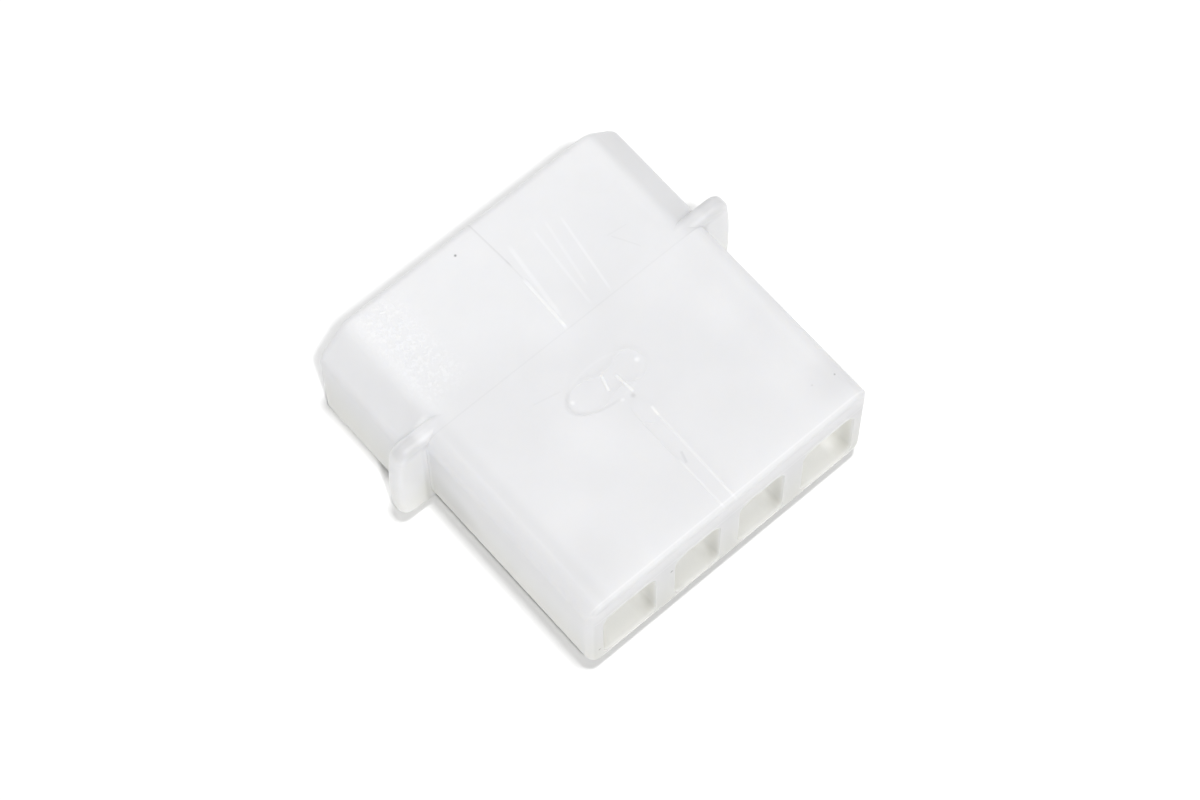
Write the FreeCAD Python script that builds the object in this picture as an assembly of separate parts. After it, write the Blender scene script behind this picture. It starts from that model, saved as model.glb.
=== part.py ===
# Four-circuit in-line housing, pin side: one moulded piece.
# Millimetres, +Z up, +X along the row of contacts, +Y out of the shroud's mouth.
# The origin is the middle of the bounding box, at its lowest face.
import os

import FreeCAD
import Part

V = FreeCAD.Vector

os.makedirs("parts", exist_ok=True)

# Row of contacts
pitch = 5.08
contact_count = 4

# Contact cavities
pocket_width = 3.6
pocket_height = 5.75
pocket_drop = 0.175
pocket_depth = 6.5
pocket_corner_radius = 0.9
outer_pocket_extra = 0.53
neck_radius = 1.55
neck_length = 1.4
contact_bore_radius = 1.85
neck_lead_in_radius = 1.85
neck_lead_in_length = 0.4

# Body at the wire end
body_side_wall = 1.05
body_floor_wall = 0.3
body_length = 14.7
body_corner_radius = 1.1
body_end_round = 0.18
body_end_corner_radius = 0.7
body_end_corner_clearance = 0.02

# Shroud, outside
shroud_side_step = 0.85
shroud_height = 9.5
shroud_length = 8.2
shroud_chamfer = 2.2
shroud_chamfer_blend = 1.6
shroud_foot_radius = 0.7
shroud_mouth_round = 0.5

# Shroud, inside
shroud_wall = 1.1
shroud_depth = 8.7
shroud_inner_blend = 0.5
shroud_inner_foot_radius = 0.4

# Flange between shroud and body; its ears stand out past the body's sides
flange_thickness = 1.2
ear_reach_top = 1.95
ear_reach_bulge = 2.35
ear_reach_foot = 2.2
ear_bulge_height = 4.5
ear_foot_drop = 0.4
ear_root_drop = 0.75
ear_top_radius = 1.0
ear_foot_radius = 1.15
flange_edge_round = 0.45

# Gate mark on the top of the body
gate_from_flange = 4.05
gate_height = 0.04
gate_rim_width = 0.2
gate_left_offset = 1.75
gate_left_half_length = 1.45
gate_right_offset = 1.35
gate_right_half_length = 1.15
gate_half_width = 1.15
gate_waist_half_width = 0.8
tongue_half_width = 0.55
tongue_half_length = 0.95
tongue_from_gate = 2.85
rib_offset = 0.5
rib_width = 0.14
rib_height = 0.04
rib_from_gate = 3.0
rib_short_of_end = 0.45

# Overlap that makes joined solids merge and cuts run clear
overlap = 0.5

# Places and widths that follow from the sizes above
row_length = (contact_count - 1) * pitch
body_width = row_length + pocket_width + 2 * outer_pocket_extra + 2 * body_side_wall
shroud_width = body_width + 2 * shroud_side_step
total_length = body_length + flange_thickness + shroud_length
wire_end_y = -total_length / 2
flange_rear_y = wire_end_y + body_length
flange_front_y = flange_rear_y + flange_thickness
mouth_y = total_length / 2
shroud_floor_y = mouth_y - shroud_depth
pocket_floor_y = wire_end_y + pocket_depth
neck_end_y = pocket_floor_y + neck_length
cavity_axis_height = shroud_height / 2
body_top = shroud_height
pocket_foot = cavity_axis_height - pocket_drop - pocket_height / 2
body_foot = pocket_foot - body_floor_wall
gate_y = flange_rear_y - gate_from_flange


def face_from_points(points, y):
    """Flat face across Y from (x, z) points."""
    corners = [V(x, y, z) for x, z in points]
    return Part.Face(Part.makePolygon(corners + corners[:1]))


def edges_at(shape, points, y_low, y_high):
    """Edges that run along Y between two stations through given (x, z) points."""
    found = []
    for edge in shape.Edges:
        box = edge.BoundBox
        runs = abs(box.YMin - y_low) < 1e-3 and abs(box.YMax - y_high) < 1e-3
        if not runs or box.XLength > 1e-3 or box.ZLength > 1e-3:
            continue
        for x, z in points:
            if abs(box.XMin - x) < 1e-3 and abs(box.ZMin - z) < 1e-3:
                found.append(edge)
    return found


def edges_in_plane(shape, y):
    """Edges that lie wholly at one station along Y."""
    found = []
    for edge in shape.Edges:
        box = edge.BoundBox
        if abs(box.YMin - y) < 1e-3 and abs(box.YMax - y) < 1e-3:
            found.append(edge)
    return found


def prism(points, y_low, y_high):
    """Solid between two stations along Y with a polygon as its section."""
    return face_from_points(points, y_low).extrude(V(0, y_high - y_low, 0))


def shroud_points(half_width, low, high, chamfer):
    """Section of the shroud: a box with its two upper corners cut at 45 degrees."""
    return [
        (-half_width, low),
        (half_width, low),
        (half_width, high - chamfer),
        (half_width - chamfer, high),
        (-half_width + chamfer, high),
        (-half_width, high - chamfer),
    ]


def shroud_solid(half_width, low, high, chamfer, blend, foot_radius, y_low, y_high):
    """Shroud block with blended chamfers and rounded lower corners."""
    points = shroud_points(half_width, low, high, chamfer)
    block = prism(points, y_low, y_high)
    block = block.makeFillet(blend, edges_at(block, points[2:], y_low, y_high))
    return block.makeFillet(foot_radius, edges_at(block, points[:2], y_low, y_high))


def flange_solid():
    """Plate with bowed sides that stand out as ears on both sides."""
    half = body_width / 2
    top_corner = (half + ear_reach_top, shroud_height)
    bulge = (half + ear_reach_bulge, ear_bulge_height)
    foot_corner = (half + ear_reach_foot, body_foot - ear_foot_drop)
    root = (half, body_foot - ear_root_drop)
    right = [V(x, flange_rear_y, z) for x, z in (top_corner, bulge, foot_corner, root)]
    left = [V(-point.x, point.y, point.z) for point in right]
    outline = Part.Wire([
        Part.LineSegment(left[0], right[0]).toShape(),
        Part.Arc(right[0], right[1], right[2]).toShape(),
        Part.LineSegment(right[2], right[3]).toShape(),
        Part.LineSegment(right[3], left[3]).toShape(),
        Part.LineSegment(left[3], left[2]).toShape(),
        Part.Arc(left[2], left[1], left[0]).toShape(),
    ])
    plate = Part.Face(outline).extrude(V(0, flange_thickness, 0))
    for corner, radius in ((top_corner, ear_top_radius), (foot_corner, ear_foot_radius)):
        pair = [corner, (-corner[0], corner[1])]
        plate = plate.makeFillet(radius, edges_at(plate, pair, flange_rear_y, flange_front_y))
    rims = edges_in_plane(plate, flange_rear_y) + edges_in_plane(plate, flange_front_y)
    return plate.makeFillet(flange_edge_round, rims)


def body_solid():
    """Wire-end block with rounded long edges and end corners, run a little way into the flange."""
    half = body_width / 2
    end = flange_rear_y + min(overlap, flange_thickness)
    points = [(-half, body_foot), (half, body_foot), (half, body_top), (-half, body_top)]
    block = prism(points, wire_end_y, end)
    block = block.makeFillet(body_corner_radius, edges_at(block, points, wire_end_y, end))
    plan_half = half + body_end_corner_clearance
    plan = Part.makeBox(2 * plan_half, end - wire_end_y, shroud_height, V(-plan_half, wire_end_y, 0))
    upright = [edge for edge in plan.Edges
               if edge.BoundBox.ZLength > shroud_height / 2 and edge.BoundBox.YMax < wire_end_y + overlap]
    block = block.common(plan.makeFillet(body_end_corner_radius, upright))
    rim = [edge for edge in edges_in_plane(block, wire_end_y) if edge.BoundBox.XLength > 1e-3]
    return block.makeFillet(body_end_round, rim)


def cavity(index):
    """One contact cavity: rear pocket, cone, neck and round bore up to the shroud."""
    x = index * pitch - row_length / 2
    low = x - pocket_width / 2
    high = x + pocket_width / 2
    if index == 0:
        low -= outer_pocket_extra
    if index == contact_count - 1:
        high += outer_pocket_extra
    z_low = pocket_foot
    z_high = pocket_foot + pocket_height
    points = [(low, z_low), (high, z_low), (high, z_high), (low, z_high)]
    start = wire_end_y - overlap
    pocket = prism(points, start, pocket_floor_y)
    pocket = pocket.makeFillet(pocket_corner_radius, edges_at(pocket, points, start, pocket_floor_y))
    along = V(0, 1, 0)
    cone = Part.makeCone(neck_lead_in_radius, neck_radius, neck_lead_in_length,
                         V(x, pocket_floor_y, cavity_axis_height), along)
    neck = Part.makeCylinder(neck_radius, neck_length + 2 * overlap,
                             V(x, pocket_floor_y - overlap, cavity_axis_height), along)
    bore = Part.makeCylinder(contact_bore_radius, shroud_floor_y - neck_end_y + overlap,
                             V(x, neck_end_y, cavity_axis_height), along)
    return pocket.fuse([cone, neck, bore])


def oval(middle_x, middle_y, half_length, half_width, z, height):
    """Flat elliptical pad, half_length along X and half_width along Y."""
    curve = Part.Ellipse(V(0, 0, 0), max(half_length, half_width), min(half_length, half_width))
    pad = Part.Face(Part.Wire(curve.toShape())).extrude(V(0, 0, height))
    if half_width > half_length:
        pad.rotate(V(0, 0, 0), V(0, 0, 1), 90)
    pad.translate(V(middle_x, middle_y, z))
    return pad


def gate_plan(inset, z, height):
    """Two ovals joined by a waist, the plan of the gate mark."""
    left = oval(-gate_left_offset, gate_y, gate_left_half_length - inset, gate_half_width - inset, z, height)
    right = oval(gate_right_offset, gate_y, gate_right_half_length - inset, gate_half_width - inset, z, height)
    half = gate_waist_half_width - inset
    corner = V(-gate_left_offset, gate_y - half, z)
    waist = Part.makeBox(gate_left_offset + gate_right_offset, 2 * half, height, corner)
    return left.fuse([right, waist]).removeSplitter()


def gate_mark():
    """Raised rim of the gate mark, its tongue and the two fine ribs to the wire end."""
    z = body_top - overlap
    rim = gate_plan(0, z, overlap + gate_height).cut(gate_plan(gate_rim_width, z - overlap, 3 * overlap))
    tongue = oval(0, gate_y - tongue_from_gate, tongue_half_width, tongue_half_length, z, overlap + gate_height)
    rib_start = gate_y - rib_from_gate
    rib_end = wire_end_y + rib_short_of_end
    ribs = []
    for side in (-1, 1):
        corner = V(side * rib_offset - rib_width / 2, rib_end, z)
        ribs.append(Part.makeBox(rib_width, rib_start - rib_end, overlap + rib_height, corner))
    return rim.fuse([tongue] + ribs)


def housing():
    """The whole moulded piece."""
    outer = shroud_solid(shroud_width / 2, 0, shroud_height, shroud_chamfer, shroud_chamfer_blend,
                         shroud_foot_radius, flange_rear_y + flange_edge_round, mouth_y)
    outer = outer.makeFillet(shroud_mouth_round, edges_in_plane(outer, mouth_y))
    solid = outer.fuse([flange_solid(), body_solid()]).removeSplitter()
    solid = solid.fuse(gate_mark()).removeSplitter()
    inner_chamfer = shroud_chamfer - shroud_wall * (2 - 2 ** 0.5)
    inside = shroud_solid(shroud_width / 2 - shroud_wall, shroud_wall, shroud_height - shroud_wall, inner_chamfer,
                          shroud_inner_blend, shroud_inner_foot_radius, shroud_floor_y, mouth_y + overlap)
    solid = solid.cut(inside)
    for index in range(contact_count):
        solid = solid.cut(cavity(index))
    return solid.removeSplitter()


connector_housing = housing()
connector_housing.exportStep("parts/connector_housing.step")
print("solids", len(connector_housing.Solids), "valid", connector_housing.isValid())
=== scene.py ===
"""Four-pin wire connector housing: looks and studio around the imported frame. Blender units are metres."""
import math

import bpy
from mathutils import Matrix, Vector

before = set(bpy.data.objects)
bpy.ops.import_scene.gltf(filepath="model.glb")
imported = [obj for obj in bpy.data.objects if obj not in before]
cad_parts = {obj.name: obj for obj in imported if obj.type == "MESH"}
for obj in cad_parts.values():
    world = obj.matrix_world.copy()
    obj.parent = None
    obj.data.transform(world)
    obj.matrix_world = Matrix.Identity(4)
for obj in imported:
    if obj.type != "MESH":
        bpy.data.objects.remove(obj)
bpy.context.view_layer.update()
MM = 0.001

# Camera, fitted to the picture's 1200 x 800 frame
CAMERA_TARGET_MM = (-0.6343, -1.0435, 6.5)
CAMERA_AZIMUTH_DEG = -40.288
CAMERA_ELEVATION_DEG = 66.428
CAMERA_ROLL_DEG = -0.784
CAMERA_DISTANCE_MM = 208.755
CAMERA_SENSOR_MM = 36.0
CAMERA_LENS_MM = 104.44
CAMERA_CLIP_START_M = 0.01
CAMERA_CLIP_END_M = 20

# Studio: slopes are how far a sun leans along X and Y for each unit of height
FLOOR_HALF_M = 3.0
FLOOR_COLOUR = (0.93, 0.93, 0.93, 1)
FLOOR_ROUGHNESS = 0.9
FLOOR_SPECULAR = 0.0
LIGHT_COLOUR = (1.0, 1.0, 1.0)
SKY_STRENGTH = 0.31
FRONT_STRENGTH = 0.48
FRONT_SLOPE = (-0.28, -0.33)
FRONT_ANGLE_DEG = 8.0
TOP_STRENGTH = 0.96
TOP_SLOPE = (0.06, 0.0)
TOP_ANGLE_DEG = 12.0
KEY_STRENGTH = 1.03
KEY_SLOPE = (0.065, -0.44)
KEY_ANGLE_DEG = 3.4
FLOOR_TOP_STRENGTH = 1.6
FLOOR_TOP_SLOPE = (0.034, -0.06)
FLOOR_TOP_ANGLE_DEG = 6.5
FLOOR_KEY_STRENGTH = 1.15
FLOOR_KEY_SLOPE = (-0.185, -0.447)
FLOOR_KEY_ANGLE_DEG = 2.8

# Nylon: its own milky white, with painted light in the tint: cooler as if lit from above, warmer low down
# and inside as if lit by light that passed through the nylon
NYLON_WHITE_PAINTED_COOL_LIGHT = (0.80, 0.802, 0.815)
NYLON_WHITE_PAINTED_WARM_LIGHT = (0.80, 0.80, 0.765)
NYLON_IOR = 1.53
SCATTER_SHARE = 0.9
SCATTER_SCALE_MM = 1.6
SCATTER_RADIUS = (1.0, 0.97, 0.9)
ROUGHNESS_PLAIN = 0.46
ROUGHNESS_SHINY = 0.36
ROUGHNESS_SPREAD = 0.12
ROUGHNESS_FLAKES = -0.1

# Places on the part, in millimetres of the frame
PITCH = 5.08
TOP_Z = 9.5
FLANGE_REAR_Y = 2.65
FLANGE_FRONT_Y = 3.85
BODY_HALF_X = 11.0
END_Y = -12.05

# Ranges in millimetres along one axis: a region's effect is 0 at the first place and full at the second
ON_TOP_Z = (9.1, 9.3)
ON_SHROUD_Y = (FLANGE_REAR_Y - 0.02, FLANGE_REAR_Y + 0.02)
SHROUD_TONE_Y = (FLANGE_REAR_Y, 7.0)
RIGHT_CHAMFER_X = (9.3, 10.1)
MOUTH_CHAMFER_Y = (6.0, 11.0)
LEFT_SIDE_X = (-9.4, -10.4)
LEFT_SIDE_Y = (FLANGE_FRONT_Y, FLANGE_FRONT_Y + 0.3)
LEFT_SIDE_Z = (8.4, 7.2)
LEFT_WALL_X = (-BODY_HALF_X + 0.3, -BODY_HALF_X)
LEFT_WALL_Y = (FLANGE_REAR_Y, FLANGE_REAR_Y - 0.3)
LOW_Z = (7.6, 1.2)
AT_FLANGE_Y = (FLANGE_FRONT_Y + 0.1, FLANGE_FRONT_Y - 0.05)
EAR_X = (BODY_HALF_X + 0.05, BODY_HALF_X + 0.5)
EAR_Z = (9.3, 8.3)
EAR_SIDE_Y = (FLANGE_REAR_Y + 0.02, FLANGE_REAR_Y + 0.2)
EAR_RIM_X = (-10.7, -11.7)
EAR_RIM_Z = (8.8, 9.4)
REAR_CREASE_REACH = (0.35, 0)
REAR_CREASE_Z = (8.9, 8.2)
FRONT_CREASE_X = (-9.6, -10.4)
FRONT_CREASE_REAR_Y = (3.4, FLANGE_FRONT_Y)
FRONT_CREASE_FRONT_Y = (FLANGE_FRONT_Y + 0.5, FLANGE_FRONT_Y)
AT_END_Y = (END_Y + 0.12, END_Y + 0.02)
END_FACE_Z = (8.6, 7.4)
END_RIM_Y = (END_Y + 0.3, END_Y + 0.1)
END_RIM_Z = (9.0, 9.3)
END_FOOT_Y = (END_Y + 0.5, END_Y + 0.2)
END_FOOT_Z = (1.9, 1.6)
OPENING_FRONT_Y = (END_Y + 0.02, END_Y + 0.3)
OPENING_BACK_Y = (3.0, 1.0)
OPENING_DEEP_Y = (END_Y + 0.5, END_Y + 3.0)
OPENING_UPPER_Z = (3.0, 7.0)
OPENING_SIDE_Y = (END_Y + 0.3, END_Y + 1.5)
OPENING_SIDE_Z = (7.4, 4.5)
SHINE_X = (-0.2, 0.2)

# Bands in millimetres: centre, half width at full effect, soft edge
OPENING_BAND_X = (0, 10.0, 0.2)
OPENING_BAND_Z = (4.575, 2.9, 0.05)
END_LINE_BAND_Z = (7.65, 0.03, 0.1)
FROST_BAND_X = (-7.8, 0.4, 1.9)
FROST_BAND_Y = (8.1, 2.6, 1.9)

# Share of the pitch, across which the far side of each opening glows
OPENING_SIDE_SHARE = (0.7, 0.84)

# Tones are shares by which the colour is lighter or darker; most below are painted light or shade
SHROUD_TONE = 0.04
# Painted shade on the right chamfer of the shroud
RIGHT_CHAMFER_PAINTED_SHADE = -0.075
# Painted shade on the right chamfer towards the mouth
MOUTH_CHAMFER_PAINTED_SHADE = -0.05
# Painted light on the shroud's left wall below its chamfer
LEFT_SIDE_PAINTED_LIGHT = 0.025
# Painted light on the body's left wall
LEFT_WALL_PAINTED_LIGHT = 0.065
# Painted shade low down on the walls
LOW_PAINTED_SHADE = -0.055
# Painted light on the faces of the ears
EAR_PAINTED_LIGHT = 0.21
# Painted shade on the rounded top rim of the left ear
EAR_RIM_PAINTED_SHADE = -0.105
# Painted shade on the outer edges of the ears
EAR_SIDE_PAINTED_SHADE = -0.07
# Painted light that lifts the shade in the inner corners where the ears meet the body and the shroud
CREASE_PAINTED_LIGHT = 0.26
# Painted shade on the end face
END_FACE_PAINTED_SHADE = -0.085
# Painted shade on the rounded top edge of the wire end
END_RIM_PAINTED_SHADE = -0.08
# Painted highlight along the end face just above the openings
END_LINE_PAINTED_HIGHLIGHT = 0.07
# Painted shade at the foot of the end face
END_FOOT_PAINTED_SHADE = -0.05
# Painted shade in the openings
OPENING_PAINTED_SHADE = -0.20
LIGHTEST_COLOUR = (0.97, 0.97, 0.97)

# Painted glow: the openings' surface emits light in place of light that comes through the walls into them
GLOW_COLOUR = (0.80, 0.80, 0.79)
OPENING_GLOW = 0.10
OPENING_DEEP_GLOW = 0.16
OPENING_UPPER_GLOW = 0.10
OPENING_SIDE_GLOW = 0.19

# Cloudiness, mottling and grain of the nylon, and the frosted patch by the left chamfer
CLOUD_TONE = 0.05
CLOUD_PER_MM = 0.22
MOTTLE_TONE = 0.014
MOTTLE_PER_MM = 1.1
NOISE_DETAIL = 2.0
GRAIN_PER_MM = 5.0
GRAIN_TONE = 0.012
GRAIN_HEIGHT_MM = 0.004
FROST_TONE = 0.06
FROST_GLOW = 0.02
FROST_HEIGHT_MM = 0.015
FROST_PER_MM = 5.0
FROST_DETAIL = 3.0
FROST_CUT = (-0.04, 0.14)

# Sockets of Blender's mix node by number, because several of them share one name
MIX_FACTOR = 0
MIX_FIRST_COLOUR = 6
MIX_SECOND_COLOUR = 7
MIX_COLOUR_RESULT = 2

# Share of a line's half width at full effect, and its length over this is the fade past each end
LINE_CORE_SHARE = 0.3
LINE_FADE_PART = 6

# Fine lines on the top faces: start, end, half width, tone, height
LINES = {
    "parting line near the mouth": ((0.1, 11.8), (0.25, 8.4), 0.07, -0.10, 0.0),
    "parting line, middle": ((0.25, 8.4), (0.24, 5.9), 0.07, -0.05, 0.0),
    # Real raised ridge of the parting line, with a painted glint on it
    "parting line ridge, painted glint": ((0.24, 6.6), (0.12, 3.2), 0.13, 0.16, 0.03),
    "streak beside the parting line": ((0.95, 8.7), (0.42, 4.2), 0.16, 0.055, 0.0),
    "second streak": ((2.77, 8.5), (2.30, 3.6), 0.11, 0.04, 0.0),
    "third streak": ((3.66, 8.6), (2.95, 4.6), 0.11, 0.035, 0.0),
    "fourth streak": ((4.56, 8.1), (3.82, 3.5), 0.10, 0.055, 0.0),
    "scratch": ((6.17, 5.53), (6.94, 4.12), 0.06, -0.04, 0.0),
    "scratch, upper arm": ((6.02, 5.82), (7.22, 5.66), 0.06, -0.03, 0.0),
    "gate mark, left bar": ((-0.39, -0.94), (-0.66, -1.85), 0.11, 0.14, 0.04),
    "gate mark, right bar": ((0.28, -1.52), (0.38, -2.75), 0.11, 0.14, 0.04),
    "line behind the flange": ((-10.2, 2.7), (10.2, 2.7), 0.06, -0.035, 0.0),
    "faint flow line": ((-4.55, 0.27), (-3.03, -0.06), 0.07, -0.03, 0.0),
    "left rib": ((-0.5, -8.3), (-0.5, -11.6), 0.09, 0.07, 0.0),
    "right rib": ((0.5, -5.0), (0.4, -11.5), 0.10, 0.07, 0.0),
    "bright start of the right rib": ((0.55, -4.4), (0.5, -5.0), 0.10, 0.12, 0.0),
    # Painted highlight along the rounded top edge of the wire end
    "painted highlight behind the end's rim": ((-9.7, -11.72), (9.7, -11.72), 0.06, 0.06, 0.0),
    "shade along the left edge": ((-9.9, 2.4), (-9.9, -11.6), 0.8, -0.05, 0.0),
    "tick beside the left rib": ((-0.07, -7.7), (-0.27, -8.35), 0.10, -0.09, 0.0),
}

# Oval outline of the gate mark: darker on the side that faces the wire end, lighter on the other
GATE_CENTRE = (-0.53, -1.38)
GATE_HALF_X = 2.72
GATE_HALF_Y = 1.38
GATE_LINE_HALF_WIDTH = 0.10
GATE_SHADE_SIDE = (-0.75, -0.66)
GATE_SHADE_REACH = (0.4, 1.4)
GATE_SHADE_TONE = -0.06
GATE_LIGHT_TONE = 0.02

# Specks and soft glows: place, radius, tone
SPOTS = {
    "speck on the shroud": ((-1.82, 10.83, TOP_Z), 0.13, -0.75),
    "speck near the right edge": ((10.07, -9.92, 9.48), 0.10, -0.40),
    "speck beside it": ((8.58, -9.57, TOP_Z), 0.09, -0.16),
    "speck between the first openings": ((-4.62, END_Y, 6.3), 0.17, -0.6),
    "speck on the end face": ((-10.25, END_Y, 3.1), 0.14, -0.5),
    "dark end of the gate mark": ((0.19, -3.1, TOP_Z), 0.24, -0.16),
    "bright foot of the gate mark": ((-0.46, -2.9, TOP_Z), 0.20, 0.10),
    "bright right end of the gate mark": ((1.9, -1.49, TOP_Z), 0.26, 0.16),
    "bright left end of the gate mark": ((-2.82, -1.12, TOP_Z), 0.22, 0.14),
    "glow on the right of the body": ((7.6, -2.2, TOP_Z), 2.8, 0.04),
    "glow left of the gate mark": ((-3.7, -3.2, TOP_Z), 3.6, 0.035),
    "glow near the left edge": ((-6.9, -5.6, TOP_Z), 2.6, 0.02),
    "glow on the right of the flange": ((6.8, 2.0, TOP_Z), 4.5, 0.045),
    "glow on the middle of the flange": ((0.0, 3.2, TOP_Z), 3.0, 0.04),
    "shade near the left end": ((-8.5, -9.2, TOP_Z), 3.4, -0.03),
    "shade on the right edge": ((10.2, -10.2, 9.3), 2.6, -0.06),
    "shade in the left corner": ((-11.0, 0.3, 3.6), 3.4, -0.18),
    # Painted highlight on the left ear's rounded rim
    "painted highlight on the left ear": ((-11.84, 3.5, 9.2), 0.3, 0.2),
}


def camera_axes():
    """Right, up and backward directions of the camera."""
    azimuth = math.radians(CAMERA_AZIMUTH_DEG)
    elevation = math.radians(CAMERA_ELEVATION_DEG)
    roll = math.radians(CAMERA_ROLL_DEG)
    back = Vector((
        math.sin(azimuth) * math.cos(elevation),
        -math.cos(azimuth) * math.cos(elevation),
        math.sin(elevation),
    ))
    level = Vector((math.cos(azimuth), math.sin(azimuth), 0))
    upright = back.cross(level)
    right = level * math.cos(roll) + upright * math.sin(roll)
    up = upright * math.cos(roll) - level * math.sin(roll)
    return right, up, back


def add_camera():
    right, up, back = camera_axes()
    data = bpy.data.cameras.new("camera")
    data.sensor_width = CAMERA_SENSOR_MM
    data.lens = CAMERA_LENS_MM
    data.clip_start = CAMERA_CLIP_START_M
    data.clip_end = CAMERA_CLIP_END_M
    camera = bpy.data.objects.new("camera", data)
    turn = Matrix((right, up, back)).transposed().to_4x4()
    place = Vector(CAMERA_TARGET_MM) * MM + back * CAMERA_DISTANCE_MM * MM
    camera.matrix_world = Matrix.Translation(place) @ turn
    bpy.context.scene.collection.objects.link(camera)
    bpy.context.scene.camera = camera


def add_floor():
    mesh = bpy.data.meshes.new("floor")
    h = FLOOR_HALF_M
    mesh.from_pydata([(-h, -h, 0), (h, -h, 0), (h, h, 0), (-h, h, 0)], [], [(0, 1, 2, 3)])
    floor = bpy.data.objects.new("floor", mesh)
    bpy.context.scene.collection.objects.link(floor)
    material = bpy.data.materials.new("floor_paper")
    material.use_nodes = True
    shader = material.node_tree.nodes["Principled BSDF"]
    shader.inputs["Base Color"].default_value = FLOOR_COLOUR
    shader.inputs["Roughness"].default_value = FLOOR_ROUGHNESS
    shader.inputs["Specular IOR Level"].default_value = FLOOR_SPECULAR
    mesh.materials.append(material)
    return floor


def add_sun(name, slope, strength, angle_deg, receiver):
    """Soft sun over the object that lights one receiver, while everything casts its shadow."""
    data = bpy.data.lights.new(name, "SUN")
    data.energy = strength
    data.angle = math.radians(angle_deg)
    data.color = LIGHT_COLOUR
    sun = bpy.data.objects.new(name, data)
    sun.rotation_mode = "QUATERNION"
    sun.rotation_quaternion = Vector((slope[0], slope[1], 1)).to_track_quat("Z", "Y")
    bpy.context.scene.collection.objects.link(sun)
    lit = bpy.data.collections.new(name + "_lights")
    lit.objects.link(receiver)
    sun.light_linking.receiver_collection = lit


def add_lights(part, floor):
    world = bpy.data.worlds.new("studio")
    world.use_nodes = True
    background = world.node_tree.nodes["Background"]
    background.inputs["Color"].default_value = (*LIGHT_COLOUR, 1)
    background.inputs["Strength"].default_value = SKY_STRENGTH
    bpy.context.scene.world = world
    add_sun("front", FRONT_SLOPE, FRONT_STRENGTH, FRONT_ANGLE_DEG, part)
    add_sun("top", TOP_SLOPE, TOP_STRENGTH, TOP_ANGLE_DEG, part)
    add_sun("key", KEY_SLOPE, KEY_STRENGTH, KEY_ANGLE_DEG, part)
    add_sun("floor_top", FLOOR_TOP_SLOPE, FLOOR_TOP_STRENGTH, FLOOR_TOP_ANGLE_DEG, floor)
    add_sun("floor_key", FLOOR_KEY_SLOPE, FLOOR_KEY_STRENGTH, FLOOR_KEY_ANGLE_DEG, floor)


class Nodes:
    """Adds linked nodes to a material; every value is a number or another node's output."""

    def __init__(self, tree):
        self.tree = tree

    def add(self, kind, values, output=0, **settings):
        node = self.tree.nodes.new(kind)
        for name, setting in settings.items():
            setattr(node, name, setting)
        for place, value in values.items():
            if isinstance(value, bpy.types.NodeSocket):
                self.tree.links.new(value, node.inputs[place])
            else:
                node.inputs[place].default_value = value
        return node.outputs[output]

    def math(self, operation, *values):
        return self.add("ShaderNodeMath", dict(enumerate(values)), operation=operation)

    def vector(self, operation, *values, output=0):
        return self.add("ShaderNodeVectorMath", dict(enumerate(values)), output, operation=operation)

    def ramp(self, value, low, high):
        """0 at low, 1 at high and a smooth rise between them; low may be the larger one."""
        values = {"Value": value, "From Min": low, "From Max": high}
        return self.add("ShaderNodeMapRange", values, interpolation_type="SMOOTHSTEP")

    def band(self, value, centre, half, soft):
        """1 within half of the centre, 0 beyond half and soft."""
        away = self.math("ABSOLUTE", self.math("SUBTRACT", value, centre))
        return self.ramp(away, half + soft, half)

    def times(self, *values):
        result = values[0]
        for value in values[1:]:
            result = self.math("MULTIPLY", result, value)
        return result

    def total(self, values):
        result = values[0]
        for value in values[1:]:
            result = self.math("ADD", result, value)
        return result

    def noise(self, point, per_mm, detail=NOISE_DETAIL):
        """Noise around zero, from about -0.5 to 0.5."""
        value = self.add("ShaderNodeTexNoise", {"Vector": point, "Scale": per_mm, "Detail": detail})
        return self.math("SUBTRACT", value, 0.5)

    def line(self, point, start, end, half_width):
        """1 along the middle of a straight line between two places in plan, 0 off it."""
        along = Vector(end) - Vector(start)
        length = along.length
        along = along.normalized()
        offset = self.vector("SUBTRACT", point, (*start, 0))
        reach = self.vector("DOT_PRODUCT", offset, (along.x, along.y, 0), output=1)
        side = self.vector("DOT_PRODUCT", offset, (-along.y, along.x, 0), output=1)
        across = self.band(side, 0, half_width * LINE_CORE_SHARE, half_width)
        return self.times(across, self.band(reach, length / 2, length / 2, length / LINE_FADE_PART))

    def oval(self, point, centre, half_x, half_y, half_width):
        """1 along an ellipse in plan, 0 off it."""
        offset = self.vector("SUBTRACT", point, (*centre, 0))
        shape = self.vector("MULTIPLY", offset, (1 / half_x, 1 / half_y, 0))
        reach = self.vector("LENGTH", shape, output=1)
        return self.band(reach, 1, half_width * LINE_CORE_SHARE / half_y, half_width / half_y)

    def spot(self, point, place, radius):
        """1 in the middle of a round spot, fading to 0 at its radius."""
        away = self.vector("DISTANCE", point, place, output=1)
        return self.ramp(away, radius, 0)


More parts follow.
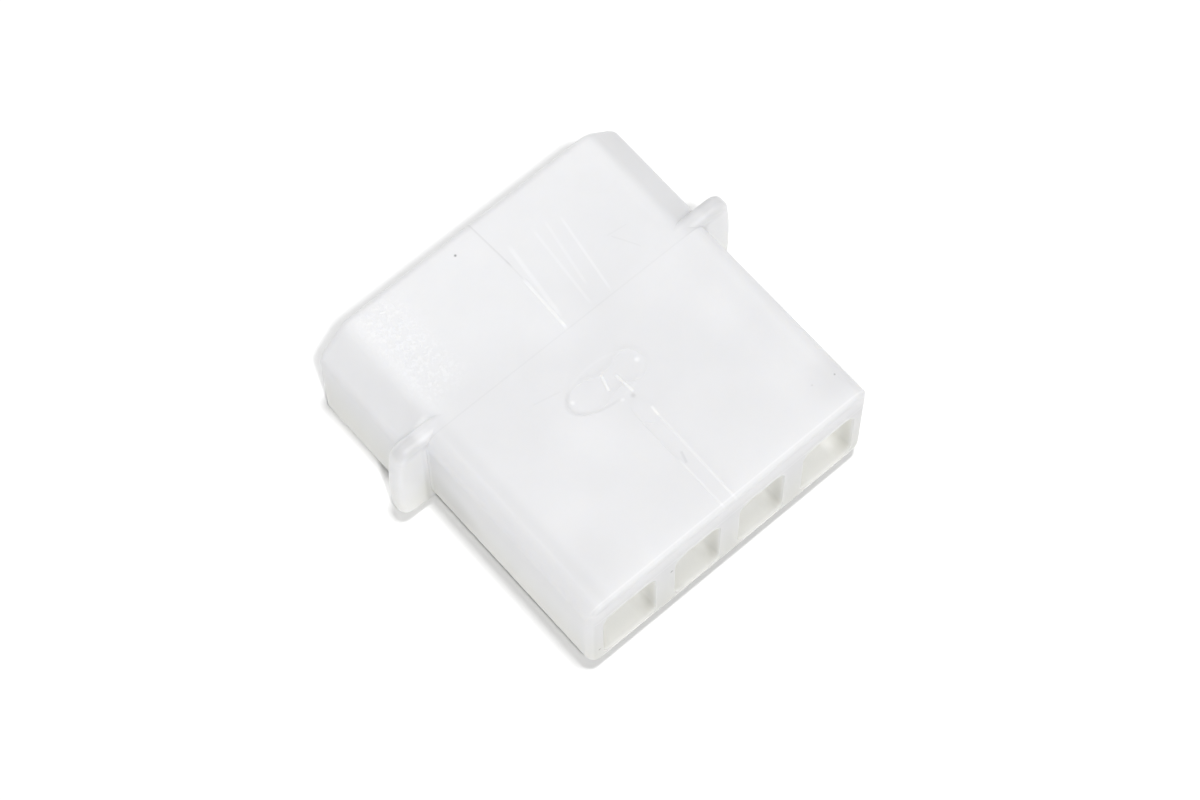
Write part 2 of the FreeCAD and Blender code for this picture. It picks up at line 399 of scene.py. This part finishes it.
def nylon():
    """Milky natural nylon with the mould's parting line, streaks, frosted patch and specks, and with light
    and shade painted into its colour and a painted glow in the openings.
    """
    material = bpy.data.materials.new("natural_nylon_look")
    material.use_nodes = True
    material.cycles.emission_sampling = "NONE"
    g = Nodes(material.node_tree)
    place = g.add("ShaderNodeTexCoord", {}, "Object")
    point = g.vector("SCALE", place)
    point.node.inputs["Scale"].default_value = 1 / MM
    x = g.add("ShaderNodeSeparateXYZ", {0: point}, "X")
    y = x.node.outputs["Y"]
    z = x.node.outputs["Z"]
    flat = g.vector("MULTIPLY", point, (1, 1, 0))
    on_top = g.ramp(z, *ON_TOP_Z)
    on_shroud = g.ramp(y, *ON_SHROUD_Y)

    # Regions
    chamfer = g.times(g.ramp(x, *RIGHT_CHAMFER_X), on_shroud)
    left_side = g.times(g.ramp(x, *LEFT_SIDE_X), g.ramp(y, *LEFT_SIDE_Y), g.ramp(z, *LEFT_SIDE_Z))
    left_wall = g.times(g.ramp(x, *LEFT_WALL_X), g.ramp(y, *LEFT_WALL_Y))
    # Mask low down on the walls, for painted shade and a painted tint of light
    low = g.ramp(z, *LOW_Z)
    # Mask of the openings, for their painted shade, painted tint and painted glow
    opening = g.times(
        g.band(z, *OPENING_BAND_Z),
        g.band(x, *OPENING_BAND_X),
        g.ramp(y, *OPENING_FRONT_Y),
        g.ramp(y, *OPENING_BACK_Y),
    )
    frost = g.times(g.band(x, *FROST_BAND_X), g.band(y, *FROST_BAND_Y), on_top)

    # Ears, and the inner corners where they meet the body and the shroud, with painted light and shade on
    # them
    at_flange = g.ramp(y, *AT_FLANGE_Y)
    outside = g.times(g.ramp(g.math("ABSOLUTE", x), *EAR_X), at_flange)
    ear = g.times(outside, g.ramp(z, *EAR_Z))
    ear_side = g.times(outside, g.ramp(y, *EAR_SIDE_Y))
    ear_rim = g.times(g.ramp(x, *EAR_RIM_X), g.ramp(z, *EAR_RIM_Z), at_flange)
    from_corner = g.vector("DISTANCE", flat, (-BODY_HALF_X, FLANGE_REAR_Y, 0), output=1)
    rear_crease = g.times(g.ramp(from_corner, *REAR_CREASE_REACH), g.ramp(z, *REAR_CREASE_Z))
    front_crease = g.times(
        g.ramp(x, *FRONT_CREASE_X),
        g.ramp(y, *FRONT_CREASE_REAR_Y),
        g.ramp(y, *FRONT_CREASE_FRONT_Y),
    )
    crease = g.math("MAXIMUM", rear_crease, front_crease)

    # Wire end, with painted shade and a painted highlight line above the openings
    at_end = g.ramp(y, *AT_END_Y)
    end_face = g.times(at_end, g.ramp(z, *END_FACE_Z))
    end_line = g.times(at_end, g.band(z, *END_LINE_BAND_Z))
    end_rim = g.times(g.ramp(y, *END_RIM_Y), g.ramp(z, *END_RIM_Z))
    end_foot = g.times(g.ramp(y, *END_FOOT_Y), g.ramp(z, *END_FOOT_Z))

    # Gate mark
    gate_line = g.times(g.oval(flat, GATE_CENTRE, GATE_HALF_X, GATE_HALF_Y, GATE_LINE_HALF_WIDTH), on_top)
    from_gate = g.vector("SUBTRACT", flat, (*GATE_CENTRE, 0))
    gate_side = g.vector("DOT_PRODUCT", from_gate, (*GATE_SHADE_SIDE, 0), output=1)
    gate_shade = g.ramp(gate_side, *GATE_SHADE_REACH)

    # Texture of the surface
    grain = g.noise(point, GRAIN_PER_MM)
    flakes = g.times(g.ramp(g.noise(point, FROST_PER_MM, FROST_DETAIL), *FROST_CUT), frost)

    # Tone, with painted light and shade among its shares
    tones = [
        1.0,
        g.times(g.noise(point, CLOUD_PER_MM), CLOUD_TONE),
        g.times(g.noise(point, MOTTLE_PER_MM), MOTTLE_TONE),
        g.times(grain, GRAIN_TONE),
        g.times(g.ramp(y, *SHROUD_TONE_Y), SHROUD_TONE),
        g.times(chamfer, g.ramp(y, *MOUTH_CHAMFER_Y), MOUTH_CHAMFER_PAINTED_SHADE),
        g.times(left_side, LEFT_SIDE_PAINTED_LIGHT),
        g.times(ear_rim, EAR_RIM_PAINTED_SHADE),
        g.times(ear_side, EAR_SIDE_PAINTED_SHADE),
        g.times(crease, CREASE_PAINTED_LIGHT),
        g.times(chamfer, RIGHT_CHAMFER_PAINTED_SHADE),
        g.times(opening, OPENING_PAINTED_SHADE),
        g.times(flakes, FROST_TONE),
        g.times(frost, FROST_GLOW),
        g.times(ear, EAR_PAINTED_LIGHT),
        g.times(left_wall, LEFT_WALL_PAINTED_LIGHT),
        g.times(low, LOW_PAINTED_SHADE),
        g.times(end_face, END_FACE_PAINTED_SHADE),
        g.times(end_rim, END_RIM_PAINTED_SHADE),
        g.times(end_line, END_LINE_PAINTED_HIGHLIGHT),
        g.times(end_foot, END_FOOT_PAINTED_SHADE),
        g.times(gate_line, GATE_LIGHT_TONE),
        g.times(gate_line, gate_shade, GATE_SHADE_TONE - GATE_LIGHT_TONE),
    ]
    heights = [
        g.times(grain, GRAIN_HEIGHT_MM),
        g.times(flakes, FROST_HEIGHT_MM),
    ]
    for start, end, half_width, tone, height in LINES.values():
        stroke = g.times(g.line(flat, start, end, half_width), on_top)
        tones.append(g.times(stroke, tone))
        if height:
            heights.append(g.times(stroke, height))
    for centre, radius, tone in SPOTS.values():
        tones.append(g.times(g.spot(point, centre, radius), tone))
    tone = g.math("MAXIMUM", g.total(tones), 0.0)

    # Colour: the nylon's white, with a painted warmer tint of light low down and in the openings
    painted_warm_light = g.math("MAXIMUM", low, opening)
    blend = material.node_tree.nodes.new("ShaderNodeMix")
    blend.data_type = "RGBA"
    material.node_tree.links.new(painted_warm_light, blend.inputs[MIX_FACTOR])
    blend.inputs[MIX_FIRST_COLOUR].default_value = (*NYLON_WHITE_PAINTED_COOL_LIGHT, 1)
    blend.inputs[MIX_SECOND_COLOUR].default_value = (*NYLON_WHITE_PAINTED_WARM_LIGHT, 1)
    colour = g.vector("SCALE", blend.outputs[MIX_COLOUR_RESULT])
    material.node_tree.links.new(tone, colour.node.inputs["Scale"])
    colour = g.vector("MINIMUM", colour, LIGHTEST_COLOUR)

    # Finish
    shine = g.times(g.ramp(x, *SHINE_X), on_shroud)
    rough = g.total([
        ROUGHNESS_PLAIN,
        g.times(shine, ROUGHNESS_SHINY - ROUGHNESS_PLAIN),
        g.times(g.noise(point, MOTTLE_PER_MM), ROUGHNESS_SPREAD),
        g.times(flakes, ROUGHNESS_FLAKES),
    ])
    bump = g.add("ShaderNodeBump", {"Height": g.total(heights), "Distance": MM, "Strength": 1.0})

    # Painted glow in the openings
    upper = g.ramp(z, *OPENING_UPPER_Z)
    deep = g.ramp(y, *OPENING_DEEP_Y)
    across = g.math("FRACT", g.math("DIVIDE", g.math("ADD", x, 2 * PITCH), PITCH))
    side = g.times(
        g.ramp(across, *OPENING_SIDE_SHARE),
        g.ramp(z, *OPENING_SIDE_Z),
        g.ramp(y, *OPENING_SIDE_Y),
    )
    glow = g.times(opening, g.total([
        OPENING_GLOW,
        g.times(upper, OPENING_UPPER_GLOW),
        g.times(side, OPENING_SIDE_GLOW),
        g.times(deep, OPENING_DEEP_GLOW),
    ]))

    shader = material.node_tree.nodes["Principled BSDF"]
    shader.inputs["IOR"].default_value = NYLON_IOR
    shader.inputs["Subsurface Weight"].default_value = SCATTER_SHARE
    shader.inputs["Subsurface Scale"].default_value = SCATTER_SCALE_MM * MM
    shader.inputs["Subsurface Radius"].default_value = SCATTER_RADIUS
    shader.inputs["Emission Color"].default_value = (*GLOW_COLOUR, 1)
    material.node_tree.links.new(glow, shader.inputs["Emission Strength"])
    material.node_tree.links.new(colour, shader.inputs["Base Color"])
    material.node_tree.links.new(rough, shader.inputs["Roughness"])
    material.node_tree.links.new(bump, shader.inputs["Normal"])
    return material


add_camera()
studio_floor = add_floor()
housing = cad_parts["connector_housing"]
housing.data.materials.clear()
housing.data.materials.append(nylon())
add_lights(housing, studio_floor)
view = bpy.context.scene.view_settings
view.view_transform = "Standard"
view.look = "None"
